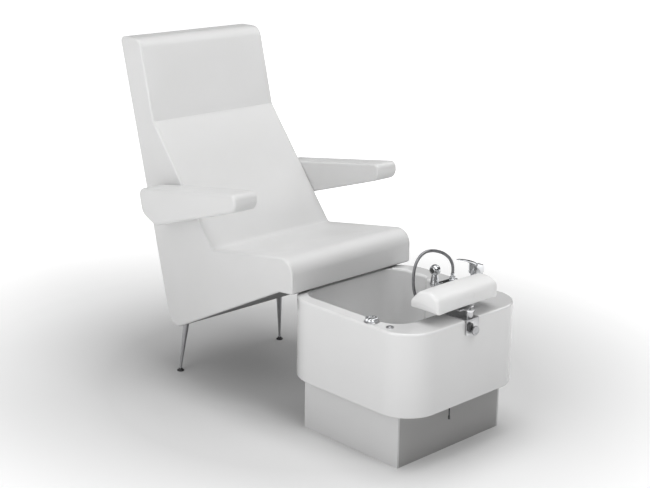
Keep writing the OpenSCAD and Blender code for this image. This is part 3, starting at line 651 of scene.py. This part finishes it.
def armrest(name, side, node):
    rings = rim(HALF_WIDTH + 0.2, HALF_WIDTH + ARMREST_WIDTH, 8.0, 12.0, steps=8)
    verts, faces = prism_mesh(armrest_path, [(side * h, d) for h, d in rings], across)
    pad = make(name, verts, faces, sharp=50)
    settle(pad, "root", looks["leather_white"], "leather_white", node)


armrest("armrest_pad_left", -1, "armrest_left")
armrest("armrest_pad_right", 1, "armrest_right")

# ---- Rear legs and glides ----

BALL = np.array((270.0, 979.0, 12.0))
ENTRY = np.array((250.0, 960.0, 212.0))
for side, where in ((-1, "left"), (1, "right")):
    foot, entry = BALL * (side, 1, 1), ENTRY * (side, 1, 1)
    run = entry - foot
    length = float(np.linalg.norm(run))
    leg_profile = softened([(0.1, -5.9), (3.6, -4.6), (5.9, 0.0), (4.4, 4.2), (4.3, 7.0), (5.6, 8.0),
                            (5.6, 13.0), (4.7, 14.5), (12.4, length), (12.4, length + 8),
                            (0.1, length + 8)], 1.0)
    leg = lathe("rear_leg_" + where, leg_profile, foot, axis=run, segments=48)
    settle(leg, "root", looks["satin_chrome_painted_dark"], "chrome", "rear_legs")
    glide_profile = softened([(0.1, 0.0), (13.6, 0.0), (14.5, 1.0), (14.5, 3.4), (12.6, 5.2), (8.4, 6.2),
                              (8.0, 9.0), (7.6, 11.6), (6.4, 11.9), (6.2, 9.0), (0.1, 5.9)], 0.6)
    glide = lathe("glide_cup_" + where, glide_profile, (side * BALL[0], BALL[1], 0), segments=48)
    settle(glide, "glide_%s_body" % where, looks["black_plastic"], "black_plastic", "glide_" + where)

# ---- Basin ----

BASIN_LOW = 202.0
BOWL_FLOOR = 250.0
APRON = [(-310, -315), (-310, 335), (310, 335), (310, -315)]
APRON_RADII = [128, 160, 160, 128]
BOWL = [(-248, -197), (-248, 285), (235, 285), (235, 110), (212, 90), (212, -197)]
BOWL_RADII = [90, 76, 76, 28, 28, 90]
BOWL_CENTRE = np.array((-10.0, 40.0))


def by_angle(outline, angles):
    """Points and normals of an outline where rays from the bowl's centre meet it."""
    place, normal = outline[0], outline[1]
    offset = place - BOWL_CENTRE
    theta = np.arctan2(offset[:, 1], offset[:, 0])
    order = np.argsort(theta)
    theta, place, normal = theta[order], place[order], normal[order]
    theta = np.concatenate([theta[-1:] - 2 * math.pi, theta, theta[:1] + 2 * math.pi])
    pick = [-1] + list(range(len(place))) + [0]
    p = np.stack([np.interp(angles, theta, place[pick, k]) for k in (0, 1)], axis=1)
    q = np.stack([np.interp(angles, theta, normal[pick, k]) for k in (0, 1)], axis=1)
    return p, q / np.linalg.norm(q, axis=1)[:, None]


def build_basin():
    outlines = [rounded_path(APRON, APRON_RADII, spacing=12.0), rounded_path(BOWL, BOWL_RADII, spacing=12.0)]
    angles = []
    for outline in outlines:
        offset = outline[0] - BOWL_CENTRE
        angles.extend(np.arctan2(offset[:, 1], offset[:, 0]))
    angles = sorted(angles)
    angles = [a for k, a in enumerate(angles) if k == 0 or a - angles[k - 1] > math.radians(0.12)]
    apron, bowl = (by_angle(o, angles) for o in outlines)
    rings = [(apron, -5.5, BASIN_LOW + 8), (apron, -5.5, BASIN_LOW + 1), (apron, -4.5, BASIN_LOW),
             (apron, -1.5, BASIN_LOW), (apron, -0.4, BASIN_LOW + 0.5), (apron, 0, BASIN_LOW + 1.8)]
    rings += [(apron, 0, z) for z in np.linspace(BASIN_LOW + 4, RIM - 11, 8)]
    quarter = [(math.cos(a), math.sin(a)) for a in np.linspace(0, math.pi / 2, 10)]
    outer, inner, lower = 9, 10, 28
    rings += [(apron, outer * (c - 1), RIM + outer * (s - 1)) for c, s in quarter]
    rings += [(apron, -outer - 1.5, RIM), (bowl, inner + 1.5, RIM)]
    rings += [(bowl, inner * (1 - s), RIM + inner * (c - 1)) for c, s in quarter]
    rings += [(bowl, 0, z) for z in np.linspace(RIM - 12, BOWL_FLOOR + 31, 6)]
    rings += [(bowl, lower * (c - 1), BOWL_FLOOR + lower * (1 - s)) for c, s in quarter]
    rings += [(bowl, -31, BOWL_FLOOR)]
    verts = []
    for (place, normal), grow, z in rings:
        for p, q in zip(place, normal):
            verts.append(np.array((*(p + q * grow), z)) * MM)
    faces = ring_faces(len(rings), len(angles), caps=(False, True))
    return make("basin", verts, faces, closed=False, sharp=50)


basin = build_basin()
settle(basin, "root", looks["gelcoat_white"], "gelcoat_white", "basin_shell")

# ---- Rim controls ----

AIR = (-277.0, -104.0, RIM)
START = (-272.0, -185.0, RIM)

# The escutcheon, bezel and start button get the darker satin chrome: its darker colour is painted dark
# reflection
air_base = lathe("air_control_escutcheon", softened([(0.1, -0.5), (26.6, -0.5), (27, 0.6), (26.8, 1.6),
                 (25, 3.6), (24.6, 3.9), (0.1, 3.9)], 0.5), AIR, segments=96)
settle(air_base, "root", looks["satin_chrome_painted_dark"], "chrome", "air_control_base")


def flutes(count, depth, width):
    """Radius factor with rounded grooves round the rim, fading towards the middle."""
    def factor(angle, r, h):
        step = 2 * math.pi / count
        from_groove = abs((angle + step / 2) % step - step / 2) * max(r, 1e-3)
        return 1 - depth / max(r, 1e-3) * math.exp(-(from_groove / width) ** 2) if r > 12 else 1
    return factor


air_knob = lathe("air_control_dial", softened([(0.1, 4.2), (23.4, 4.2), (24, 5.2), (23.6, 12.5), (22, 15.2),
                 (18, 16.8), (15.5, 17.0), (13.6, 16.2), (12.4, 15.4), (4, 15.0), (0.1, 15.0)], 0.9),
                 AIR, segments=160, ripple=flutes(8, 3.2, 4.0))
settle(air_knob, "air_knob", looks["chrome"], "chrome", "air_control_knob")

bezel = lathe("start_bezel", softened([(0.1, -0.5), (13.2, -0.5), (13.5, 0.6), (13.3, 1.8), (11.6, 3.4),
              (9.6, 3.5), (8.7, 2.8), (8.6, -10.6), (0.1, -10.6)], 0.4), START, segments=64)
settle(bezel, "root", looks["satin_chrome_painted_dark"], "chrome", "start_button_bezel")
button = lathe("start_push", softened([(0.1, -5.8), (8.3, -5.8), (8.4, -5.0), (8.4, 4.6), (7.2, 5.9),
               (4.6, 6.1), (3.6, 5.6), (0.1, 5.4)], 0.5), START, segments=64)
settle(button, "start_button_body", looks["satin_chrome_painted_dark"], "chrome", "start_button")

# ---- Mixer tap ----

MIXER = (262.0, -111.0, RIM)
SPOUT = [(262, 32), (240, 34), (215, 36.5), (190, 37.5), (168, 36), (154, 31), (147, 23), (146, 14)]


def build_mixer():
    barrel = lathe_mesh(softened([(0.1, -0.5), (27.4, -0.5), (28, 0.8), (27.6, 3.2), (25.2, 5.0),
                                  (23.2, 6.0), (23, 8), (23, 30), (23, 54), (22.4, 55.8), (0.1, 55.8)], 1.0),
                        MIXER, segments=96)
    route, _ = smooth_path([(x, MIXER[1], RIM + z) for x, z in SPOUT], 3.0)
    spout = tube_mesh(route, lambda share: 13.5 - 2.0 * ease(share * 1.1), sides=48, up=(0, 1, 0))
    body = make("mixer_tap", *joined([barrel, spout]), sharp=50)
    settle(body, "root", looks["chrome"], "chrome", "mixer_body")
    aerator = lathe("spout_aerator", softened([(0.1, 15.5), (9.6, 15.5), (9.8, 14.6), (9.2, 13.0),
                    (6.5, 12.8), (6.2, 13.8), (0.1, 14.2)], 0.4), (146, MIXER[1], RIM), segments=48)
    settle(aerator, "root", looks["steel"], "steel", "mixer_aerator")
    cap = lathe("mixer_dome", softened([(0.1, 56.3), (21.6, 56.3), (22, 57.2), (22, 61.4), (21, 62.8),
                (11, 63), (10, 64), (10, 73.4), (9.4, 74), (0.1, 74)], 0.8), MIXER, segments=96)
    settle(cap, "mixer_cap_body", looks["chrome"], "chrome", "mixer_cap")


build_mixer()

LEVER_AXIS = (262.0, -111.0, RIM + 86.0)
# Stations of the lever's blade as [distance along X from its axis, underside, top, half width]
BLADE = [(4, 2, 12, 16.4), (-8, 4, 18, 17), (-20, 8, 24.4, 17), (-34, 18.4, 30.8, 17), (-46, 25, 35.6, 16.8),
         (-60, 31.4, 40.4, 16.4), (-76, 37.8, 44.8, 15.8), (-90, 42.6, 47.6, 15.0), (-100, 45.6, 49.2, 13.4),
         (-106, 47.2, 49.8, 10.6), (-109, 48.2, 49.6, 6.0)]
# Ridge of the housing as [distance along X, height above the lever's axis]
RIDGE = [(28, -9), (23, 1), (14, 9), (0, 16), (-12, 21.5), (-24, 26.5), (-34, 30)]
HOUSING_RADIUS = 28.0
HOUSING_SHIFT = -3.0


def build_blade():
    sides = 40
    verts = []
    for dx, low, top, half in BLADE:
        for k in range(sides):
            a = 2 * math.pi * k / sides
            c, s = math.cos(a), math.sin(a)
            y = half * math.copysign(abs(c) ** 0.6, c)
            z = (top + low) / 2 + (top - low) / 2 * math.copysign(abs(s) ** 0.55, s)
            z -= 1.8 * (y / half) ** 2
            verts.append(np.array((dx, y, z)))
    return verts, ring_faces(len(BLADE), sides)


def build_housing():
    """Skirt around the cap, closed on top by a surface that follows the ridge line."""
    curve = np.polyfit(*np.array(RIDGE).T, 3)
    sides = 96

    def top(x, y):
        return float(np.polyval(curve, x)) - 3.2 * (y / HOUSING_RADIUS) ** 2
    rings = [(0.89, None, 8.0), (0.89, None, 0.4), (0.90, None, 0.0), (0.99, None, 0.0), (1.0, None, 0.5)]
    rings += [(1.0, -3.0, None), (0.993, -1.6, None), (0.97, -0.5, None), (0.92, 0.0, None)]
    rings += [(share, 0.0, None) for share in (0.8, 0.65, 0.5, 0.35, 0.2, 0.05)]
    verts = []
    for share, below_top, above_foot in rings:
        for k in range(sides):
            a = 2 * math.pi * k / sides
            x = HOUSING_SHIFT + share * HOUSING_RADIUS * math.cos(a)
            y = share * HOUSING_RADIUS * math.sin(a)
            foot = -22.0 + (x + 31.0) / 8.0
            z = foot + above_foot if below_top is None else top(x, y) + below_top
            verts.append(np.array((x, y, z)))
    return verts, ring_faces(len(rings), sides)


def build_lever():
    blade_verts, blade_faces = build_blade()
    blade_verts = [(np.array(LEVER_AXIS) + v) * MM for v in blade_verts]
    blade = make("mixer_handle", blade_verts, blade_faces, sharp=70)
    smooth = blade.modifiers.new("smooth", "SUBSURF")
    smooth.levels = smooth.render_levels = 2
    settle(blade, "mixer_lever_body", looks["chrome"], "chrome", "mixer_lever")
    verts, faces = build_housing()
    verts = [(np.array(LEVER_AXIS) + v) * MM for v in verts]
    housing = make("mixer_handle_housing", verts, faces, sharp=50)
    settle(housing, "mixer_lever_body", looks["chrome"], "chrome")


build_lever()

# ---- Hand shower's rest and the hose union ----

def build_holder():
    plate_outline = rounded_path([(200, 0), (200, 30), (297, 30), (297, 0)], [5, 5, 12, 12],
                                 spacing=10, arc_steps=8)
    plate = prism_mesh(plate_outline, rim(RIM - 0.4, RIM + 3, 0.4, 1.2, steps=4), upward)
    arm_outline = rounded_path([(186, 7), (186, 23), (216, 23), (216, 7)], [2, 2, 5, 5],
                               spacing=10, arc_steps=6)
    arm = prism_mesh(arm_outline, rim(RIM + 1, RIM + 7, 1.5, 1.5, steps=4), upward)
    sides = 64
    loop = [(12.0, 0.4), (17.2, 0.0), (18, 1.0), (18, 8.0), (17, 9.0), (13, 9.0), (12.05, 8.2), (12.0, 0.6)]
    points, faces = lathe_mesh(softened(loop, 0.7), SHOWER, segments=sides)
    last = len(points) - sides
    inside = [[k, (k + 1) % sides, last + (k + 1) % sides, last + k] for k in range(sides)]
    ring = (points, faces[:-2] + inside)
    holder = make("shower_rest", *joined([plate, arm, ring]), sharp=40)
    settle(holder, "root", looks["chrome"], "chrome", "shower_holder")
    collar = [(0.1, 2.8), (13.4, 2.8), (14, 3.6), (13.6, 6.2), (12, 7.2), (0.1, 7.2)]
    nut = [(0.1, 7), (10.6, 7), (11.3, 7.8), (11.3, 13.2), (10.6, 14), (0.1, 14)]
    ferrule = [(0.1, 13.8), (7.5, 13.8), (7.5, 24), (7.1, 28), (6.2, 28.6), (5.2, 28.4), (5.2, 24),
               (0.1, 24)]
    union = [lathe_mesh(softened(collar, 0.5), UNION, segments=64),
             lathe_mesh(softened(nut, 0.4), UNION, segments=96, ripple=hexagon),
             lathe_mesh(softened(ferrule, 0.6), UNION, segments=64)]
    fitting = make("hose_fitting", *joined(union), sharp=30)
    settle(fitting, "root", looks["chrome"], "chrome", "hose_union")


build_holder()

# ---- Clamp knob, thumb wheel and footrest cushion ----

BRACKET_FRONT = -322.0
KNOB = (-20.0, BRACKET_FRONT, 484.0)
SCREW = (-1.0, BRACKET_FRONT, 469.0)


def build_clamp_screws():
    knob = lathe("clamp_hand_knob", softened([(0.1, -3.8), (3.9, -3.8), (3.9, 0.3), (16.6, 0.3), (17.5, 1.2),
                 (17.5, 3.4), (16.6, 5.2), (13, 6), (9, 5.8), (7.6, 4.8), (0.1, 4.6)], 0.8),
                 KNOB, axis=(0, -1, 0), segments=144, ripple=flutes(6, 2.8, 4.2))
    settle(knob, "clamp_knob_body", looks["black_plastic"], "black_plastic", "clamp_knob")
    wheel = [(0.1, -3.8), (3.9, -3.8), (3.9, 8.0), (16.2, 8.0), (17, 8.9), (17, 15.0), (16.2, 16.0),
             (11, 16), (9.6, 15.2), (4.6, 15.0), (3.6, 15.8), (0.1, 15.8)]
    screw = lathe("clamp_thumb_wheel", softened(wheel, 0.7),
                  SCREW, axis=(0, -1, 0), segments=180, ripple=knurl(30, 0.55))
    settle(screw, "thumbscrew_body", looks["satin_chrome_painted_dark"], "chrome", "clamp_thumbscrew")


build_clamp_screws()

CUSHION_LOW = 546.3
CUSHION_SECTION = [(-299, CUSHION_LOW), (-297, CUSHION_LOW + 52), (-254, CUSHION_LOW + 71),
                   (-208, CUSHION_LOW + 69), (-165, CUSHION_LOW + 26), (-165, CUSHION_LOW)]
CUSHION_RADII = [4, 26, 42, 46, 22, 4]
HALF_CUSHION = 158.0
SWELL_CAP = 0.004


def build_cushion():
    start = rounded_path(CUSHION_SECTION, CUSHION_RADII, spacing=6.0, arc_steps=10)
    rings = rim(-HALF_CUSHION, HALF_CUSHION, 10.0, 10.0, steps=7)
    half = len(rings) // 2
    middle = [(h, 0.0) for h in np.linspace(-HALF_CUSHION + 14, HALF_CUSHION - 14, 40)]
    verts, faces = prism_mesh(start, rings[:half] + middle + rings[half:], across)
    pad = make("footrest_pillow", verts, faces, sharp=180)
    bpy.context.view_layer.objects.active = pad
    remesh = pad.modifiers.new("remesh", "REMESH")
    remesh.mode = "VOXEL"
    remesh.voxel_size = 0.0045
    bake(pad)
    puff(pad, SWELL_CAP)
    smooth = pad.modifiers.new("even", "SMOOTH")
    smooth.factor = 0.5
    smooth.iterations = 3
    bake(pad)
    co = points_of(pad)
    co[:, 2] = np.maximum(co[:, 2], CUSHION_LOW * MM)
    set_points(pad, co)
    divide = pad.modifiers.new("divide", "SUBSURF")
    divide.levels = divide.render_levels = 1
    bake(pad)
    pad.data.shade_smooth()
    # The footrest cushion gets the brighter copy of the white leather: painted light
    settle(pad, "footrest_top", looks["leather_painted_light"], "leather_white", "footrest_cushion")


def bake(obj):
    """Applies all modifiers of an object."""
    evaluated = obj.evaluated_get(bpy.context.evaluated_depsgraph_get())
    mesh = bpy.data.meshes.new_from_object(evaluated)
    obj.modifiers.clear()
    obj.data = mesh


def points_of(obj):
    co = np.zeros(len(obj.data.vertices) * 3)
    obj.data.vertices.foreach_get("co", co)
    return co.reshape(-1, 3)


def set_points(obj, co):
    obj.data.vertices.foreach_set("co", co.ravel())
    obj.data.update()


def puff(obj, cap):
    """Inflates a pad by cloth simulation, with a limit on how far any point moves."""
    rest = points_of(obj)
    cloth = obj.modifiers.new("cloth", "CLOTH")
    cloth.settings.quality = 5
    cloth.settings.mass = 0.3
    cloth.settings.use_pressure = True
    cloth.settings.uniform_pressure_force = 4.0
    cloth.settings.tension_stiffness = 15
    cloth.settings.bending_stiffness = 4.0
    cloth.settings.effector_weights.gravity = 0.0
    scene = bpy.context.scene
    for number in range(1, 21):
        scene.frame_set(number)
    bake(obj)
    scene.frame_set(1)
    moved = points_of(obj) - rest
    size = np.linalg.norm(moved, axis=1)
    moved *= (np.minimum(1.0, cap / np.maximum(size, 1e-9)))[:, None]
    set_points(obj, rest + moved)


build_cushion()

# ---- Looks of the CAD parts that are shown as they are ----

# Darker or more matt than the rest of their slot: the plinth's front panel gets a darker copy of the panel
# finish, painted shade under the basin's overhang; the clamp bracket and footrest plate get the satin
# chrome, more matt, its darker colour painted dark reflection
OTHER_LOOKS = {"plinth_front_panel": "panel_shaded", "clamp_bracket": "satin_chrome_painted_dark",
               "footrest_plate": "satin_chrome_painted_dark"}
for row in frame["record"]["subparts"]:
    obj = frame["nodes"][row["node"]]
    obj.data.materials.clear()
    obj.data.materials.append(looks[OTHER_LOOKS.get(row["node"], row["material_slot"])])

BEVELS = {"plinth_front_panel": 0.6, "plinth_side_panels": 0.6, "plinth_rear_panel": 0.6,
          "clamp_bracket": 0.5, "footrest_plate": 0.5, "footrest_board": 0.8, "support_column": 1.0,
          "drain_flange": 0.4, "drain_plug": 0.5, "water_jets": 0.6, "footrest_post": 0.4,
          "clamp_pad": 0.4, "control_box": 1.5, "base_pan": 0.5, "drain_pull_rod": 0.4}
for node, width in BEVELS.items():
    obj = frame["nodes"][node]
    bevel = obj.modifiers.new("edge", "BEVEL")
    bevel.width = width * MM
    bevel.segments = 2
    bevel.limit_method = "ANGLE"
    bevel.angle_limit = math.radians(40)
    bevel.harden_normals = True

# ---- Floor and studio light ----

def ramp(tree, value, stops):
    node = tree.nodes.new("ShaderNodeValToRGB")
    while len(node.color_ramp.elements) < len(stops):
        node.color_ramp.elements.new(0.5)
    for element, (at, level) in zip(node.color_ramp.elements, stops):
        element.position = at
        element.color = (level, level, level, 1)
    tree.links.new(value, node.inputs["Fac"])
    return node.outputs["Color"]


def add_floor():
    size = 60.0
    floor = make("studio_floor", [(-size, -size, 0), (size, -size, 0), (size, size, 0), (-size, size, 0)],
                 [[0, 1, 2, 3]], closed=False)
    mat = bpy.data.materials.new("studio_floor")
    mat.use_nodes = True
    tree = mat.node_tree
    shader = tree.nodes["Principled BSDF"]
    shader.inputs["Roughness"].default_value = 0.6
    shader.inputs["Specular IOR Level"].default_value = 0.2
    shader.inputs["Base Color"].default_value = (0.66, 0.66, 0.66, 1)
    coords = tree.nodes.new("ShaderNodeTexCoord").outputs["Object"]
    offset = tree.nodes.new("ShaderNodeMapping")
    offset.inputs["Location"].default_value = (-0.1, -0.55, 0)
    tree.links.new(coords, offset.inputs["Vector"])
    far = tree.nodes.new("ShaderNodeVectorMath")
    far.operation = "LENGTH"
    tree.links.new(offset.outputs["Vector"], far.inputs[0])
    # The floor glows more the farther it lies from a point near the chair, from none within 0.85 m to full
    # at 3 m: painted light that turns the far floor white
    fade = ranged(tree, far.outputs["Value"], 0.85, 3.0, 0.0, 1.0)
    tree.links.new(fade, shader.inputs["Emission Strength"])
    shader.inputs["Emission Color"].default_value = (1, 1, 1, 1)
    floor.data.materials.append(mat)


def add_world():
    world = bpy.data.worlds.new("studio")
    bpy.context.scene.world = world
    world.use_nodes = True
    tree = world.node_tree
    background = tree.nodes["Background"]
    direction = tree.nodes.new("ShaderNodeTexCoord").outputs["Generated"]
    glow = None
    for aim, stops in (((-0.98, 0.12, 0.15), [(0.0, 0.02), (0.5, 0.04), (0.75, 0.16), (1.0, 0.36)]),
                       ((0.0, 0.1, 1.0), [(0.0, 0.0), (0.5, 0.0), (0.75, 0.04), (1.0, 0.30)])):
        toward = tree.nodes.new("ShaderNodeVectorMath")
        toward.operation = "DOT_PRODUCT"
        toward.inputs[1].default_value = Vector(aim).normalized()
        tree.links.new(direction, toward.inputs[0])
        part = ramp(tree, ranged(tree, toward.outputs["Value"], -1.0, 1.0, 0.0, 1.0), stops)
        if glow is None:
            glow = part
            continue
        both = tree.nodes.new("ShaderNodeVectorMath")
        both.operation = "ADD"
        tree.links.new(glow, both.inputs[0])
        tree.links.new(part, both.inputs[1])
        glow = both.outputs["Vector"]
    tree.links.new(glow, background.inputs["Color"])
    background.inputs["Strength"].default_value = 1.0


def add_area(name, place, target, size, power):
    data = bpy.data.lights.new(name, "AREA")
    data.shape = "RECTANGLE"
    data.size, data.size_y = size
    data.energy = power
    light = bpy.data.objects.new(name, data)
    bpy.context.scene.collection.objects.link(light)
    light.location = place
    light.rotation_mode = "QUATERNION"
    light.rotation_quaternion = (Vector(target) - Vector(place)).to_track_quat("-Z", "Y")


add_floor()
add_world()
add_area("left_box", (-3.0, 0.5, 3.2), (0, 0.4, 0.4), (2.5, 2.5), 18)
add_area("side_box", (-3.3, -0.1, 1.5), (0, 0.4, 0.6), (1.9, 1.7), 27)
add_area("right_box", (3.0, 0.2, 3.2), (0, 0.4, 0.4), (2.5, 2.5), 38)
add_area("top_box", (0.0, 0.2, 8.0), (0, 0.2, 0.4), (4.0, 4.0), 250)
add_area("front_box", (-0.3, -2.6, 3.9), (0, 0.4, 0.4), (2.2, 2.2), 59)
bpy.context.scene.view_settings.view_transform = "Standard"
